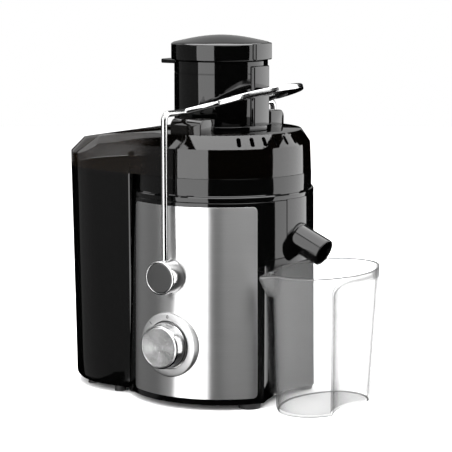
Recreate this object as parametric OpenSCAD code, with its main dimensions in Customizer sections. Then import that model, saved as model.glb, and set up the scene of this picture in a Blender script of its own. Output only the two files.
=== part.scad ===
// Centrifugal juicer: motor base, locking bail, tinted lid over the juicing bowl and the pulp
// container, feed chute with pusher, rotary speed knob, spout and a clear juice jug.
// +Z is up and the floor is z = 0. The origin is the motor axis on the floor.
// +X points from the motor axis to the spout, and -Y is the side with the knob.

/* [Motor base] */
// Radius of the base at its foot
base_foot_r = 98.8; // [97.5:0.1:100]
// Radius of the base at its top edge
base_top_r = 97; // [96.5:0.1:97.4]
// Height of the rubber feet
foot_h = 6; // [5:0.5:7]
// Height of the base's top edge above the floor
base_top_z = 212.3; // [211:0.1:214]
// Wall thickness of the base
base_wall = 3; // [2.5:0.1:3.5]
// Depth of the jug's niche, measured as its flat's distance from the motor axis
niche_x = 76; // [74:1:78]
// Radius of the niche's shallow curve
niche_r = 140.6; // [130:0.1:150]
// Height of the niche's roof
niche_top_z = 147; // [144:0.5:149]

/* [Steel panel] */
// Left end of the panel, in degrees round from -Y
panel_left = -30.5; // [-32:0.5:-28]
// Right end of the panel, in degrees round from -Y
panel_right = 55.5; // [53:0.5:57]
// Lower edge of the panel
panel_bottom_z = 12; // [10:0.5:14]
// Upper edge of the panel
panel_top_z = 208; // [205:0.5:210]
// Thickness of the sheet
panel_t = 0.8; // [0.6:0.1:1]

/* [Collector and spout] */
// Height of the collector's step above the base
step_z = 218.3; // [216:0.1:220]
// Height of the seam between collector and lid
seam_z = 236.1; // [234:0.1:238]
// Outer radius of the collector above its step
collector_r = 94.5; // [94:0.1:95]
// Height of the bowl's floor
bowl_floor_z = 157; // [155:1:159]
// Outer radius of the spout
spout_r = 14.4; // [13.5:0.1:14.5]
// Downward slope of the spout, in degrees
spout_tilt = 24; // [22:1:25]
// Distance of the spout's mouth from the motor axis
spout_end_x = 125.5; // [122:0.5:127]
// Height of the middle of the spout's mouth
spout_end_z = 157.9; // [157.9:0.1:159]

/* [Lid and chute] */
// Height where the lid's bevel starts
bevel_z = 265.5; // [264:0.5:267]
// Height of the lid's flat top
lid_top_z = 278.8; // [278:0.1:280]
// Radius of the lid's flat top over the bowl
lid_flat_r = 84; // [82:0.5:86]
// Wall thickness of the lid
lid_wall = 2.5; // [2:0.1:3]
// Outer radius of the feed chute
chute_r = 48.7; // [48.2:0.1:48.8]
// Inner radius of the feed chute
chute_bore_r = 44; // [43.5:0.1:44.5]
// Height of the chute's rim
chute_top_z = 350.4; // [349:0.1:350.4]
// Radius of the pusher's cap
cap_r = 51.9; // [51:0.1:52.5]
// Height of the cap's straight side above its lower edge
cap_side_h = 16.7; // [15:0.1:18]
// Rise of the cap's dome
dome_h = 8.3; // [7:0.1:9]

/* [Locking bail] */
// Height of the bail's pivots
pivot_z = 137; // [136:0.5:138]
// Distance of the pivots from the motor axis along +X
pivot_x = 3; // [2:0.5:4]
// Diameter of the bail's rod
rod_d = 6.4; // [6:0.1:6.6]
// Height of the bail's crosspieces
cross_z = 300.4; // [300.2:0.1:301]
// Rise of the bail's loop towards its front, in degrees
loop_rise = 16; // [15:0.5:17]
// Radius of the round front of the loop
loop_r = 54.6; // [54.4:0.1:55.5]
// Distance from the motor axis to the centre of the loop's round front
loop_x = 34; // [33:0.5:36]
// Width of the grip's crescent at the front of the loop
grip_w = 20; // [16:1:22]

/* [Knob] */
// Height of the knob's axis
knob_z = 65.7; // [64:0.1:68]
// Distance of the knob's axis from the motor axis along +X
knob_x = 1.5; // [0:0.5:2]
// Radius of the dial ring round the knob
dial_r = 33.2; // [31:0.1:34]
// Radius of the knob's grip
grip_r = 23.5; // [22:0.1:24]
// Distance from the motor axis to the front of the dial ring
dial_y = 101; // [100.5:0.1:102]
// Distance from the motor axis to the front of the grip
grip_y = 116; // [114:0.5:117]

/* [Pulp container] */
// Distance of the container's round end from the motor axis
pulp_x = 97; // [96:0.5:98]
// Radius of the container's round end at its rim
pulp_r = 80; // [79:0.5:81]
// Wall thickness of the container
pulp_wall = 2.2; // [2:0.1:2.6]

/* [Juice jug] */
// Distance of the jug's middle from the motor axis
jug_x = 128.5; // [128:0.5:131]
// Half of the jug's depth at its rim, along X
jug_a = 48.5; // [48:0.5:49]
// Half of the jug's width at its rim, along Y
jug_b = 72; // [70:0.5:73]
// Height of the jug's rim
jug_top_z = 142.3; // [140:0.1:142.3]
// Wall thickness of the jug
jug_wall = 2; // [1.8:0.1:2.4]

/* [Hidden] */
$fn = 96;
gap = 0.4;          // space between pieces of different bodies
base_bottom_z = foot_h;
deck_z = 150;       // underside of the deck between motor and bowl
deck_t = 3;
tongue_w = 22.5;    // half width of the collector's tongue round the spout
tongue_z = 152;
bowl_r = 88;
bowl_wall = 2.5;
shoulder_r = 93;    // lid, where its bevel starts
throat_z = 198;     // lower end of the chute inside the lid
cap_z = chute_top_z + gap;
lug_in = 53.2;        // the lid's two lugs under the bail
lug_out = 80;
lug_x0 = -9;
lug_x1 = 28;
lug_top_z = 294.2;
arm_y = 103;        // bail arms, beside the lid
hub_arm_y = 107;    // bail arms, where they enter the hubs
hub_r = 17.4;
hub_back_y = 98.4;
hub_front_y = 117;
pin_r = 4;
pin_in_y = 82;
kink_y = 66;
bend_r = 7;
shaft_r = 4;
screw_r = 87;       // base plate screws, from the motor axis
basket_z = 186;
basket_top_z = 240;
spindle_r = 3;
lid_end_z = 250.7;  // the lid's bevel starts lower on its round end
crease_x = -104;
crease_z = 261;
slope = 4.5;        // fall of the lid's top towards its round end
slope_x = -30;
end_slope = 9.5;    // fall of the lid's top beyond its crease
pulp_rim_z = seam_z - 0.5;
recess_x = 149;     // concave front face of the jug
recess_r = 77;
recess_top_z = 133;
jug_bottom = 0.88;  // scale of the jug's floor against its rim

// ---- shared shapes ----

function base_r(z) = base_foot_r + (base_top_r - base_foot_r) * (z - foot_h) / (base_top_z - foot_h);

// Ring of a rectangular section about +Z
module ring(r_out, r_in, z0, z1) {
    rotate_extrude() translate([r_in, z0]) square([r_out - r_in, z1 - z0]);
}

// Solid of the base's own taper, grown outwards by g, between two heights
module base_form(g, z0, z1) {
    translate([0, 0, z0]) cylinder(h = z1 - z0, r1 = base_r(z0) + g, r2 = base_r(z1) + g);
}

// Cutter for the jug's niche, grown by g
module niche_form(g, z1) {
    translate([niche_x + niche_r, 0, base_bottom_z - 1])
        cylinder(h = z1 - base_bottom_z + 1, r = niche_r + g);
}

// Rod along Y through a point of the XZ plane, from y0 to y1
module rod_y(x, z, y0, y1, r) {
    translate([x, y0, z]) rotate([-90, 0, 0]) cylinder(h = y1 - y0, r = r);
}

// Rod on the spout's axis, from s0 to s1 along it; 0 is the mouth and negative lies inwards
module spout_rod(r, s0, s1) {
    translate([spout_end_x, 0, spout_end_z]) rotate([0, 90 + spout_tilt, 0])
        translate([0, 0, s0]) cylinder(h = s1 - s0, r = r);
}

function corners(r, turn, n) =
    [for (i = [0:n - 1]) [r * cos(turn + i * 360 / n), r * sin(turn + i * 360 / n)]];

// Places of the four screws that hold the base plate
screw_spots = [for (a = [58, 122, 238, 302]) [screw_r * cos(a), screw_r * sin(a)]];

// Oval of four tangent arcs: half depth a along X, half width b along Y, end arcs of radius e
function oval_side_r(a, b, e) = (pow(a, 2) + pow(b - e, 2) - pow(e, 2)) / (2 * (a - e));
module oval(a, b) {
    e = b / 2;
    rs = oval_side_r(a, b, e);
    t = atan2(b - e, rs - a);
    polygon(concat(
        [for (k = [-4:4]) [a - rs + rs * cos(t * k / 4), rs * sin(t * k / 4)]],
        [for (k = [1:8]) [e * cos(t + (180 - 2 * t) * k / 8), b - e + e * sin(t + (180 - 2 * t) * k / 8)]],
        [for (k = [-3:4]) [rs - a - rs * cos(t * k / 4), -rs * sin(t * k / 4)]],
        [for (k = [1:7]) [-e * cos(t + (180 - 2 * t) * k / 8), e - b - e * sin(t + (180 - 2 * t) * k / 8)]]
    ));
}

// ---- motor base ----

module base_housing() {
    color("#101012") difference() {
        union() {
            difference() {
                base_form(0, base_bottom_z, base_top_z);
                niche_form(0, niche_top_z);
                difference() {
                    base_form(-base_wall, base_bottom_z - 1, base_top_z + 1);
                    niche_form(base_wall, niche_top_z + base_wall);
                    translate([0, 0, deck_z]) cylinder(h = deck_t, r = 99);
                }
            }
            for (p = screw_spots) translate([p[0], p[1], 10]) cylinder(h = 20, r = 8.5);
            for (s = [-1, 1]) rod_y(pivot_x, pivot_z, s > 0 ? 84 : -96, s > 0 ? 96 : -84, 10);
        }
        difference() {
            base_form(1, panel_bottom_z - 0.3, panel_top_z + 0.3);
            base_form(-panel_t, panel_bottom_z - 1, panel_top_z + 1);
            rotate([0, 0, panel_right + 0.4 - 90]) translate([-110, 0, 0]) cube([220, 220, 220]);
            rotate([0, 0, panel_left - 0.4 - 90]) translate([-110, -220, 0]) cube([220, 220, 220]);
        }
        rod_y(pivot_x, pivot_z, -110, 110, 6);
        rod_y(knob_x, knob_z, -110, -80, 5);
        translate([0, -tongue_w - 0.3, tongue_z - 0.3]) cube([110, 2 * tongue_w + 0.6, 100]);
        translate([0, 0, deck_z - 1]) cylinder(h = deck_t + 2, r = 12);
        for (p = screw_spots) translate([p[0], p[1], 0]) cylinder(h = 26, r = 1.6);
        for (p = corners(40, 45, 4)) translate([p[0], p[1], deck_z - 1]) cylinder(h = 5, r = 2);
        rotate([0, 0, 60]) translate([80, 0, 28]) rotate([0, 90, 0]) cylinder(h = 30, r = 6);
    }
}

module steel_panel() {
    color("#c9cbcd") difference() {
        rotate_extrude(angle = panel_right - panel_left, start = panel_left - 90, $fn = 180)
            polygon([
                [base_r(panel_bottom_z) - panel_t, panel_bottom_z], [base_r(panel_bottom_z), panel_bottom_z],
                [base_r(panel_top_z), panel_top_z], [base_r(panel_top_z) - panel_t, panel_top_z]
            ]);
        rod_y(pivot_x, pivot_z, -110, -80, 6);
        rod_y(knob_x, knob_z, -110, -80, 5);
    }
}

module base_plate() {
    color("#1a1a1c") difference() {
        translate([0, 0, base_bottom_z + 0.4]) cylinder(h = 2.6, r = base_foot_r - base_wall - 0.5);
        niche_form(base_wall + 0.5, 20);
        for (p = screw_spots) translate([p[0], p[1], 0]) cylinder(h = 26, r = 1.8);
        for (a = [-2:2]) translate([-30, a * 9 - 2, 0]) cube([60, 4, 20]);
        for (sx = [-1, 1], sy = [-1, 1]) translate([sx * 69, sy * 52, 0]) cylinder(h = 20, r = 3);
    }
}

module base_feet() {
    color("#0b0b0b") for (sx = [-1, 1], sy = [-1, 1]) translate([sx * 69, sy * 52, 0]) {
        cylinder(h = base_bottom_z, r1 = 11, r2 = 12);
        cylinder(h = base_bottom_z + 4.5, r = 3);
    }
}

module plate_screws() {
    color("#9a9ca0") for (p = screw_spots) translate([p[0], p[1], 4]) {
        cylinder(h = 2.3, r = 3.4);
        cylinder(h = 18, r = 1.6);
    }
}

module cord_gland() {
    color("#141414") rotate([0, 0, 60]) translate([0, 0, 28]) rotate([0, 90, 0]) difference() {
        union() {
            translate([0, 0, 92]) cylinder(h = 9, r = 6);
            translate([0, 0, 98.9]) cylinder(h = 2.2, r = 9);
        }
        translate([0, 0, 90]) cylinder(h = 14, r = 3.6);
    }
}

module pivot_bushes() {
    color("#d8d2c0") for (s = [-1, 1]) difference() {
        rod_y(pivot_x, pivot_z, s > 0 ? 84 : -97, s > 0 ? 97 : -84, 6);
        rod_y(pivot_x, pivot_z, -100, 100, pin_r + 0.05);
    }
}

module motor_bracket() {
    color("#8f9296") difference() {
        translate([0, 0, 118]) cylinder(h = 4, r = 48);
        translate([0, 0, 117]) cylinder(h = 6, r = 11);
        for (p = corners(40, 45, 4)) translate([p[0], p[1], 117]) cylinder(h = 6, r = 2);
        for (p = corners(28, 0, 2)) translate([p[0], p[1], 117]) cylinder(h = 6, r = 9);
    }
}

module motor_bushes() {
    color("#202020") for (p = corners(40, 45, 4)) translate([p[0], p[1], 0]) ring(6, 2, 122, deck_z);
}

module motor_stator() {
    color("#55585c") difference() {
        translate([0, 0, 66]) cylinder(h = 42, r = 38);
        translate([0, 0, 65]) cylinder(h = 44, r = 23);
        for (s = [-1, 1]) translate([s * 44 - 8, -30, 65]) cube([16, 60, 44]);
    }
    color("#55585c") for (p = corners(35.8, 90, 2)) translate([p[0], p[1], 107]) cylinder(h = 11, r = 2);
}

module field_coils() {
    color("#b56a2c") {
        ring(33, 24.5, 108, 114);
        ring(33, 24.5, 60, 66);
    }
}

module motor_end_frame() {
    color("#8f9296") {
        difference() {
            translate([0, 0, 48]) cylinder(h = 4, r = 38);
            translate([0, 0, 47]) cylinder(h = 6, r = 8);
            for (p = corners(24, 0, 6)) translate([p[0], p[1], 47]) cylinder(h = 6, r = 5);
        }
        for (p = corners(35.5, 90, 2)) translate([p[0], p[1], 51]) cylinder(h = 15, r = 2.4);
    }
}

module lower_bearing() {
    color("#b9a36a") ring(8, shaft_r + 0.03, 47, 53);
}

module upper_bearing() {
    color("#b4b8bc") ring(11, shaft_r + 0.03, 117, 123);
}

module brush_holders() {
    color("#2c2c2e") for (s = [-1, 1]) translate([s > 0 ? 12.6 : -30.6, -4, 52]) cube([18, 8, 7.5]);
}

module shaft_seal() {
    color("#3a3a3a") ring(12, shaft_r + 0.5, deck_z, deck_z + deck_t);
}

module rotary_switch() {
    color("#e4e1d8") difference() {
        union() {
            translate([knob_x - 14, -78, knob_z - 14]) cube([28, 18, 28]);
            rod_y(knob_x, knob_z, -94.8, -77, 9);
        }
        rod_y(knob_x, knob_z, -96, -65, spindle_r + 0.05);
    }
}

module control_board() {
    color("#2f5f3a") {
        translate([-84, -22, 60]) cube([1.6, 44, 60]);
        for (z = [68, 112]) translate([-95, 0, z]) rotate([0, 90, 0]) cylinder(h = 11.2, r = 3);
    }
    color("#d9d5c6") translate([-82.5, -12, 70]) cube([12, 24, 16]);
}

module interlock_switch() {
    color("#262628") translate([-7, 73.9, deck_z - 8.6]) cube([20, 10, 8.6]);
}

module dial_ring() {
    color("#c4c6c8") difference() {
        rod_y(knob_x, knob_z, -dial_y, -86, dial_r);
        base_form(0.02, 20, 120);
        rod_y(knob_x, knob_z, -110, -80, 5);
    }
}

// ---- bowl, spout, lid and chute ----

module juice_collector() {
    color("#0d0d0f") difference() {
        union() {
            rotate_extrude() polygon([
                [17, bowl_floor_z], [bowl_r, bowl_floor_z], [bowl_r, base_top_z + 0.2],
                [base_top_r, base_top_z + 0.2], [base_top_r, step_z], [collector_r, step_z],
                [collector_r, seam_z], [collector_r - 3, seam_z], [collector_r - 3, base_top_z + 3],
                [bowl_r - bowl_wall, base_top_z + 3], [bowl_r - bowl_wall, bowl_floor_z + 3],
                [20, bowl_floor_z + 3], [20, 180], [17, 180]
            ]);
            intersection() {
                difference() {
                    base_form(0, tongue_z, base_top_z);
                    translate([0, 0, tongue_z - 1]) cylinder(h = 100, r = base_top_r - 3.5);
                }
                translate([0, -tongue_w, tongue_z]) cube([110, 2 * tongue_w, base_top_z + 1 - tongue_z]);
            }
            intersection() {
                spout_rod(spout_r + 3, -50, -20);
                translate([bowl_r - 1, -20, tongue_z]) cube([8, 40, base_top_z - tongue_z]);
            }
            translate([bowl_r - 1, -tongue_w, base_top_z - 12]) cube([5.5, 2 * tongue_w, 12.2]);
        }
        spout_rod(spout_r, -60, 0);
    }
}

module juice_spout() {
    color("#0d0d0f") difference() {
        spout_rod(spout_r, -40, 0);
        spout_rod(spout_r - 2.2, -60, 1);
        translate([0, 0, 100]) cylinder(h = 120, r = bowl_r - 1.5);
    }
}

// Outer form of the lid, inset by t
module lid_form(t) {
    drop = (slope_x + pulp_x) * tan(slope);
    crease_drop = (slope_x - crease_x) * tan(slope);
    hull() {
        translate([0, 0, seam_z + 0.2])
            cylinder(h = bevel_z - seam_z - 0.2, r1 = 94.3 - t, r2 = shoulder_r - t);
        intersection() {
            translate([0, 0, bevel_z])
                cylinder(h = lid_top_z - bevel_z - t, r1 = shoulder_r - t, r2 = lid_flat_r - 0.6 * t);
            translate([slope_x, -100, 0]) cube([200, 200, 400]);
        }
        translate([-pulp_x, 0, seam_z + 0.2]) cylinder(h = lid_end_z - seam_z - 0.2 - t / 2, r = pulp_r - t);
        translate([crease_x + t, t - 79.2, crease_z - 10]) cube([14, 158.4 - 2 * t, 10 - t / 2]);
        translate([-pulp_x, 0, lid_top_z - drop - t]) rotate([0, -slope, 0]) {
            translate([-7, 0.6 * t - 70, -1]) cube([14, 140 - 1.2 * t, 1]);
        }
        translate([crease_x, 0, lid_top_z - crease_drop - t]) rotate([0, -end_slope, 0]) intersection() {
            translate([-pulp_x - crease_x, 0, -1]) cylinder(h = 1, r = 66 - 0.6 * t);
            translate([-100, -100, -2]) cube([100, 200, 4]);
        }
    }
}

module lid_lug(s) {
    w = lug_out - lug_in;
    h = lug_top_z - lid_top_z + 4;
    r = 8;
    translate([lug_x0, 0, lug_top_z - h]) rotate([90, 0, 90]) linear_extrude(lug_x1 - lug_x0)
        polygon(concat(
            [[s * lug_in, 0], [s * lug_in, h]],
            [for (k = [0:6]) [s * (lug_out - r + r * sin(15 * k)), h - r + r * cos(15 * k)]],
            [[s * lug_out, 0]]
        ));
}

module lid() {
    color("#2a2826") difference() {
        union() {
            lid_form(0);
            difference() {
                for (s = [-1, 1]) lid_lug(s);
                difference() {
                    translate([0, 0, 250]) cylinder(h = lid_top_z - 250, r = 130);
                    translate([0, 0, 240]) cylinder(h = 60, r = lid_flat_r);
                }
            }
        }
        difference() {
            lid_form(lid_wall);
            translate([0, 0, seam_z + 2]) ring(49.5, chute_bore_r + 2.6, 0, 60);
        }
        translate([0, 0, seam_z - 1]) cylinder(h = 1.3, r = collector_r - 3);
        translate([-pulp_x, 0, seam_z - 1]) cylinder(h = 1.3, r = pulp_r - lid_wall);
        translate([0, 0, 200]) cylinder(h = 120, r = chute_bore_r + 2.6);
        for (k = [-5:5]) rotate([0, 0, 9 * k])
            translate([(shoulder_r + lid_flat_r) / 2, 0, (bevel_z + lid_top_z) / 2]) rotate([0, 55.9, 0]) {
                translate([-3.2, 0, -6]) cylinder(h = 12, r = 2.2);
                translate([3.2, 0, -6]) cylinder(h = 12, r = 2.2);
                translate([-3.2, -2.2, -6]) cube([6.4, 4.4, 12]);
            }
    }
}

module feed_chute() {
    color("#0b0b0d") difference() {
        union() {
            rotate_extrude() polygon([
                [chute_bore_r, throat_z], [chute_bore_r + 2.4, throat_z],
                [chute_bore_r + 2.4, lid_top_z + 0.1],
                [chute_r + 4, lid_top_z + 0.1], [chute_r + 4, lid_top_z + 4], [chute_r, lid_top_z + 5.5],
                [chute_r, chute_top_z], [chute_bore_r, chute_top_z]
            ]);
            translate([chute_bore_r + 1, -14.5, lid_top_z + 0.1]) cube([5.6, 29, 66.5]);
            translate([-71, -8, chute_top_z - 5.7]) cube([26, 16, 4.6]);
        }
        translate([0, 0, throat_z - 1]) cylinder(h = 200, r = chute_bore_r);
    }
}

// ---- spinning drive ----

module motor_shaft() {
    color("#c8cacc") translate([0, 0, 36]) cylinder(h = 136, r = shaft_r);
}

module armature() {
    color("#6a4a2a") ring(22.3, shaft_r, 68, 106);
}

module commutator() {
    color("#b87333") ring(12, shaft_r, 54, 63);
}

module cooling_fan() {
    color("#303234") {
        ring(34, shaft_r, 38, 40);
        ring(9, shaft_r, 39, 46);
        for (k = [0:8]) rotate([0, 0, 40 * k]) translate([8, -0.8, 39]) cube([25, 1.6, 7]);
    }
}

module drive_coupling() {
    color("#d6d8da") difference() {
        translate([0, 0, 162]) cylinder(h = 20, r = 12);
        translate([0, 0, 161]) cylinder(h = 11, r = shaft_r);
        for (k = [0:5]) rotate([0, 0, 60 * k]) translate([10.4, -1.5, 172]) cube([3, 3, 11]);
    }
}

module basket_hub() {
    color("#1c1c1e") {
        ring(16.4, 12, 174, 182);
        translate([0, 0, 182]) cylinder(h = 4, r = 30);
    }
}

module filter_basket() {
    color("#b7babd") rotate_extrude() polygon([
        [20, basket_z], [60, basket_z], [78, basket_top_z - 3], [84, basket_top_z - 3], [84, basket_top_z],
        [77, basket_top_z], [59, basket_z + 1], [20, basket_z + 1]
    ]);
}

module grater_disc() {
    color("#c9cccf") {
        translate([0, 0, basket_z + 1]) cylinder(h = 1.2, r = 56);
        for (row = [0:5], k = [0:11]) rotate([0, 0, 30 * k + 12 * row])
            translate([12 + 8 * row, -1, basket_z + 2.1]) cube([2.4, 2, 1.3]);
    }
    color("#c9cccf") translate([0, 0, basket_z]) cylinder(h = 1.1, r = 19.5);
}

// ---- locking bail ----

function arc_points(c, u, v, r, a0, a1, n) =
    [for (k = [0:n]) c + r * (u * cos(a0 + (a1 - a0) * k / n) + v * sin(a0 + (a1 - a0) * k / n))];
function loop_z(x) = cross_z + x * tan(loop_rise);
function unit(v) = v / norm(v);
function tangent(p, i) = unit(p[min(i + 1, len(p) - 1)] - p[max(i - 1, 0)]);
function side_of(t, up) = unit(cross(t, up));

// Tube of n sides swept along points p; w and h are its half width and half height
module sweep(p, w, h, up, n) {
    m = len(p);
    pts = [for (i = [0:m - 1]) let (t = tangent(p, i), s = side_of(t, up), q = cross(s, t))
        for (k = [0:n - 1]) p[i] + w * cos(360 * k / n) * s + h * sin(360 * k / n) * q];
    sides = [for (i = [0:m - 2], k = [0:n - 1])
        [i * n + k, i * n + (k + 1) % n, (i + 1) * n + (k + 1) % n, (i + 1) * n + k]];
    ends = [[for (k = [0:n - 1]) n - 1 - k], [for (k = [0:n - 1]) (m - 1) * n + k]];
    polyhedron(pts, concat(sides, ends));
}

// Points of the front arm: up from its hub, round the corner, inwards, then forward to the grip
arm_foot = [pivot_x, -hub_arm_y, pivot_z + hub_r - 1];
arm_shoulder = [0, -arm_y, cross_z - bend_r];
arm_path = concat(
    [arm_foot, arm_foot + (arm_shoulder - arm_foot) * 0.4, arm_foot + (arm_shoulder - arm_foot) * 0.8],
    arc_points([0, -arm_y + bend_r, cross_z - bend_r], [0, -1, 0], [0, 0, 1], bend_r, 0, 90, 6),
    [[0, -kink_y - 6, cross_z], [0.5, -kink_y - 2, cross_z], [3, -kink_y + 1, loop_z(3)]],
    [[20, -kink_y + 6, loop_z(20)], [loop_x - 6, -loop_r - 0.4, loop_z(loop_x - 6)]],
    [[loop_x, -loop_r, loop_z(loop_x)]]
);

module front_arm() {
    color("#d4d6d8") sweep(arm_path, rod_d / 2, rod_d / 2, unit([1, 0.2, 0.1]), 16);
}

module rear_arm() {
    color("#d4d6d8") mirror([0, 1, 0]) sweep(arm_path, rod_d / 2, rod_d / 2, unit([1, 0.2, 0.1]), 16);
}

// Flat crescent that closes the loop's front, in the plane of the rising loop
module bail_grip() {
    outer = loop_r + rod_d / 2;
    inner = loop_r - rod_d / 2;
    x0 = loop_x / cos(loop_rise);
    reach = outer - grip_w;
    hole_r = (pow(inner, 2) + pow(reach, 2)) / (2 * reach);
    color("#d4d6d8") translate([0, 0, cross_z]) rotate([0, -loop_rise, 0]) translate([x0, 0, -rod_d / 2])
        linear_extrude(rod_d) difference() {
            circle(r = outer, $fn = 180);
            translate([reach - hole_r, 0]) circle(r = hole_r, $fn = 180);
            translate([-100, -80]) square([100, 160]);
        }
}

// Child as drawn on the knob side for s = -1, and mirrored to the far side for s = 1
module far_side(s) {
    if (s < 0) children();
    else mirror([0, 1, 0]) children();
}

module hub(s) {
    color("#cfd1d3") far_side(s) difference() {
        rod_y(pivot_x, pivot_z, -hub_front_y, -hub_back_y, hub_r);
        rod_y(pivot_x, pivot_z, -hub_front_y - 1, -hub_front_y + 1, hub_r - 1.6);
    }
}

module front_hub() {
    hub(-1);
}

module rear_hub() {
    hub(1);
}

module hub_disc(s) {
    color("#9b9da0") far_side(s) rod_y(pivot_x, pivot_z, -hub_front_y + 0.1, -hub_front_y + 1, hub_r - 1.6);
}

module front_hub_disc() {
    hub_disc(-1);
}

module rear_hub_disc() {
    hub_disc(1);
}

module pivot_pins() {
    color("#b0b3b6") for (s = [-1, 1]) far_side(s) rod_y(pivot_x, pivot_z, -hub_back_y, -pin_in_y, pin_r);
}

// ---- knob ----

module knob_grip() {
    color("#d4d6d8") difference() {
        rod_y(knob_x, knob_z, -grip_y, -dial_y - gap, grip_r);
        rod_y(knob_x, knob_z, -grip_y - 1, -grip_y + 1, grip_r - 3.3);
        rod_y(knob_x, knob_z, -dial_y - 8, -dial_y + 1, spindle_r);
    }
}

module knob_insert() {
    color("#dcdee0") rod_y(knob_x, knob_z, -grip_y + 0.2, -grip_y + 1, grip_r - 3.3);
}

module switch_spindle() {
    color("#a8abae") rod_y(knob_x, knob_z, -dial_y - 8, -68, spindle_r);
}

// ---- pusher ----

module pusher_body() {
    color("#0b0b0d") difference() {
        translate([0, 0, throat_z + 5]) cylinder(h = cap_z - throat_z - 5, r = chute_bore_r - 0.6);
        translate([0, 0, throat_z + 8]) cylinder(h = 200, r = chute_bore_r - 3);
    }
}

module pusher_cap() {
    side_top = cap_z + cap_side_h;
    dome_r = (pow(cap_r - 1.5, 2) + pow(dome_h, 2)) / (2 * dome_h);
    span = asin((cap_r - 1.5) / dome_r);
    color("#0b0b0d") rotate_extrude() polygon(concat(
        [[0, cap_z], [cap_r, cap_z], [cap_r - 0.4, side_top - 1.5], [cap_r - 0.9, side_top - 0.4]],
        [for (k = [0:7]) let (a = span * (1 - k / 8))
            [dome_r * sin(a), side_top + dome_h - dome_r * (1 - cos(a))]],
        [[0, side_top + dome_h]]
    ));
    color("#0b0b0d") translate([cap_r - 4, -15.5, cap_z]) cube([5.2, 31, cap_side_h - 1.5]);
}

// ---- containers ----

// Plan of the pulp container at scale k towards its foot (0 foot, 1 rim), inset by t
module pulp_plan(k, t) {
    hull() {
        translate([-pulp_x + 1.5 * (1 - k), 0]) circle(r = pulp_r - 3 * (1 - k) - t);
        for (s = [-1, 1]) translate([-66 + 8 * k, s * (69 + 13 * k)]) circle(r = max(4 - t, 1), $fn = 24);
    }
}

module pulp_form(t, z0, z1) {
    hull() {
        translate([0, 0, z0]) linear_extrude(0.2) pulp_plan(0, t + 6);
        translate([0, 0, z0 + 6]) linear_extrude(0.2) pulp_plan(0.03, t);
        translate([0, 0, z1 - 0.2]) linear_extrude(0.2) pulp_plan(1, t);
    }
}

module pulp_container() {
    color("#0d0d0f") difference() {
        pulp_form(0, base_bottom_z, pulp_rim_z);
        translate([0, 0, -1]) cylinder(h = 300, r = base_foot_r + gap);
        difference() {
            pulp_form(pulp_wall, base_bottom_z + pulp_wall, pulp_rim_z + 1);
            translate([0, 0, -1]) cylinder(h = 300, r = base_foot_r + gap + pulp_wall);
        }
    }
}

module pulp_feet() {
    color("#0b0b0b") for (s = [-1, 1]) {
        translate([-86, s * 64, 0]) cylinder(h = base_bottom_z, r = 6);
        translate([-132, s * 50, 0]) cylinder(h = base_bottom_z, r = 6);
    }
}

// Jug solid between two heights, inset by t, with its pouring beak and concave front
module jug_form(t, z0, z1) {
    difference() {
        union() {
            hull() {
                translate([jug_x - 2, 0, z0]) linear_extrude(0.2)
                    oval(jug_a * jug_bottom - 4 - t, jug_b * jug_bottom - 4 - t);
                translate([jug_x - 2, 0, z0 + 5]) linear_extrude(0.2)
                    oval(jug_a * jug_bottom - t, jug_b * jug_bottom - t);
                translate([jug_x, 0, z1 - 0.2]) linear_extrude(0.2) oval(jug_a - t, jug_b - t);
            }
            hull() {
                translate([101, -78, z1 - 4]) cylinder(h = 4, r = max(3 - t, 0.6), $fn = 24);
                translate([107, -50, z1 - 22]) cylinder(h = 22, r = 16 - t, $fn = 32);
            }
        }
        translate([recess_x + recess_r, 0, -5]) cylinder(h = recess_top_z + 5 + t, r = recess_r + t);
    }
}

module juice_jug() {
    color("#e6eef0") difference() {
        jug_form(0, 0, jug_top_z);
        jug_form(jug_wall, jug_wall, jug_top_z + 1);
    }
}

base_housing();
steel_panel();
base_plate();
base_feet();
plate_screws();
cord_gland();
pivot_bushes();
motor_bracket();
motor_bushes();
motor_stator();
field_coils();
motor_end_frame();
lower_bearing();
upper_bearing();
brush_holders();
shaft_seal();
rotary_switch();
control_board();
interlock_switch();
dial_ring();
juice_collector();
juice_spout();
lid();
feed_chute();
motor_shaft();
armature();
commutator();
cooling_fan();
drive_coupling();
basket_hub();
filter_basket();
grater_disc();
front_arm();
rear_arm();
bail_grip();
front_hub();
rear_hub();
front_hub_disc();
rear_hub_disc();
pivot_pins();
knob_grip();
knob_insert();
switch_spindle();
pusher_body();
pusher_cap();
pulp_container();
pulp_feet();
juice_jug();
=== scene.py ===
# Centrifugal juicer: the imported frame, its visible pieces, their finishes, the studio and the camera.
# Pieces are built in millimetres and brought to metres by makePiece.
from math import acos, asin, atan2, cos, degrees, pi, radians, sin, sqrt, tan
import bmesh
import bpy
from mathutils import Matrix, Vector


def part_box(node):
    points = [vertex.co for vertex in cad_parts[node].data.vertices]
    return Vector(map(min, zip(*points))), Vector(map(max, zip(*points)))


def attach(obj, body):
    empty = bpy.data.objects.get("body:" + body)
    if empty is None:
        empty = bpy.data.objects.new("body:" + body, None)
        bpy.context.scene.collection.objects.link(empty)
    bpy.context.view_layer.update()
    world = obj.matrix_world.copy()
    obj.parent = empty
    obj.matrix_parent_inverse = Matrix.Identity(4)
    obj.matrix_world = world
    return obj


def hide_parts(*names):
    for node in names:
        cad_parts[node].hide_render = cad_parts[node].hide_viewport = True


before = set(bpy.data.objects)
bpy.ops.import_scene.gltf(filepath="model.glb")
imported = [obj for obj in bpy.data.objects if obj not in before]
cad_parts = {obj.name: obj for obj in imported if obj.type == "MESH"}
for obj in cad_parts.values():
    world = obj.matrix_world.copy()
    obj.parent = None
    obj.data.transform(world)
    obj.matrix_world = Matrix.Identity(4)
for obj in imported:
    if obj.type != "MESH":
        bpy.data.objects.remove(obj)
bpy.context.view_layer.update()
scene = bpy.context.scene
mm = 0.001


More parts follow.
